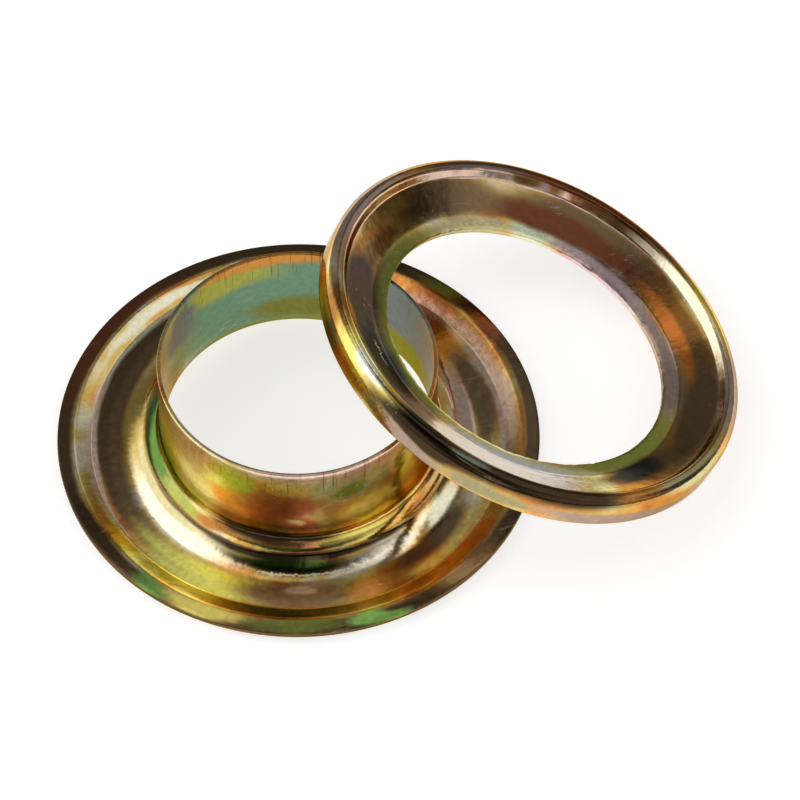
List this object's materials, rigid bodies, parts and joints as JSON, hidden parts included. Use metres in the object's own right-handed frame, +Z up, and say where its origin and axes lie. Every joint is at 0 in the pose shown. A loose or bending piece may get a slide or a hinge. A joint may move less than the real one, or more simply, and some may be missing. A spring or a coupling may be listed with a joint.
{
  "type": "grommet eyelet set",
  "caption": "Plated steel grommet: an eyelet with a drawn barrel and rolled flange, and its dished washer leaning on the barrel's lip.",
  "frame": {"origin": "on the barrel's axis, halfway up its straight bore", "axes": "+Z up along the barrel's axis towards its lip, +X the way the leaning washer slopes down"},
  "size_m": [0.0513, 0.036, 0.0148],
  "materials": {
    "eyelet_plating": "bright zinc plating with a yellow iridescent passivation, fine draw marks",
    "washer_plating": "bright zinc plating with a yellow iridescent passivation, fine scratches and a sheared hole edge"
  },
  "bodies": {
    "root": {"eyelet": "eyelet_plating", "washer": "washer_plating"}
  },
  "joints": []
}
